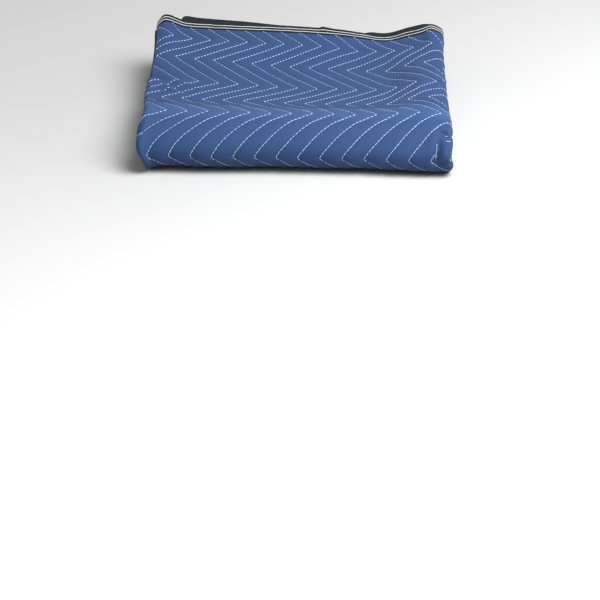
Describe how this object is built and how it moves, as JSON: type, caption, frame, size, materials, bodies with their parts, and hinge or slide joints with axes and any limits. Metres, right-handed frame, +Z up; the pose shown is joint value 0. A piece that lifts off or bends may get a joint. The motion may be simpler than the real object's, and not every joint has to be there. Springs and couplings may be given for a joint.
{
  "type": "moving blanket",
  "caption": "Quilted moving blanket with bound edges, folded back and forth both ways into a flat bundle with one tall soft roll along its front.",
  "frame": {"origin": "centre of the bundle's footprint, on the surface it rests on", "axes": "+Z up; +Y from the rolled front fold towards the bound edges at the back; +X to the right, seen from the roll"},
  "size_m": [0.4981, 0.545, 0.1012],
  "materials": {
    "quilted_cloth": "matte woven polyester with pale zigzag quilting",
    "binding_tape": "matte charcoal tape with two pale stitched stripes"
  },
  "bodies": {
    "root": {"quilted_cloth": "quilted_cloth", "binding_top_edge": "binding_tape", "binding_inner_edge": "binding_tape", "binding_side_a": "binding_tape", "binding_side_b": "binding_tape"}
  },
  "joints": []
}
